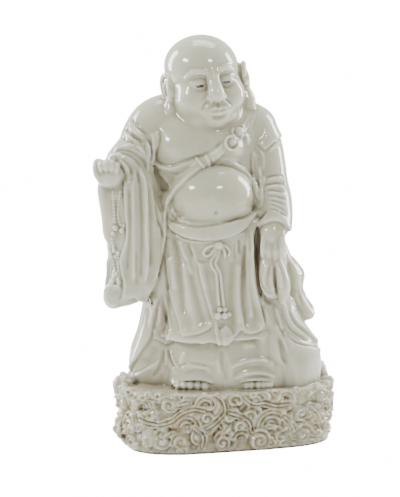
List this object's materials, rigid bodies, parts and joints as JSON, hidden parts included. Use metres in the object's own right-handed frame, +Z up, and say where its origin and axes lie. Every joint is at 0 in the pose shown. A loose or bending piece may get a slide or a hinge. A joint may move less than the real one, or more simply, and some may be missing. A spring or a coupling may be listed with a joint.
{
  "type": "porcelain figure",
  "caption": "Glazed white porcelain figure of a standing, full-bellied monk with cloth sack and prayer beads on a low oblong base of rocks and wave scrolls",
  "frame": {"origin": "centre of the bounding box in plan, on the flat underside of the base", "axes": "+Z up; +X along the long side of the base; -Y towards the side that the figure faces"},
  "size_m": [0.2494, 0.143, 0.4061],
  "materials": {
    "white_glaze": "clear glossy glaze over ivory-white porcelain, slightly warm where it pools in the folds"
  },
  "bodies": {
    "root": {"buddha_figure": "white_glaze"}
  },
  "joints": []
}
